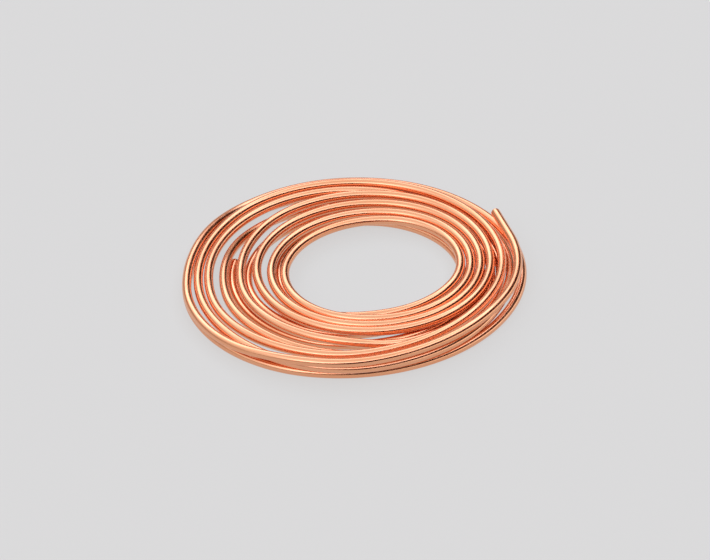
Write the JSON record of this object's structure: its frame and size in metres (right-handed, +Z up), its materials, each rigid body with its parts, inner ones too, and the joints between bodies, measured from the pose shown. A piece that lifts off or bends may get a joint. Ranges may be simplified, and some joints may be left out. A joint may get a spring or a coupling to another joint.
{
  "type": "copper tube coil",
  "caption": "Soft copper tube wound by hand into a loose flat coil with an open eye, its turns stacked in layers and its free end laid over the outer turns.",
  "frame": {"origin": "on the floor that the coil lies on, under the middle of the coil's box", "axes": "+Z up out of the coil's upper face; +X along the coil's longest way across, towards the side where the free end lies; +Y the way the free end points"},
  "size_m": [0.4872, 0.458, 0.0391],
  "materials": {
    "copper": null
  },
  "bodies": {
    "root": {"copper_tube": "copper"}
  },
  "joints": []
}
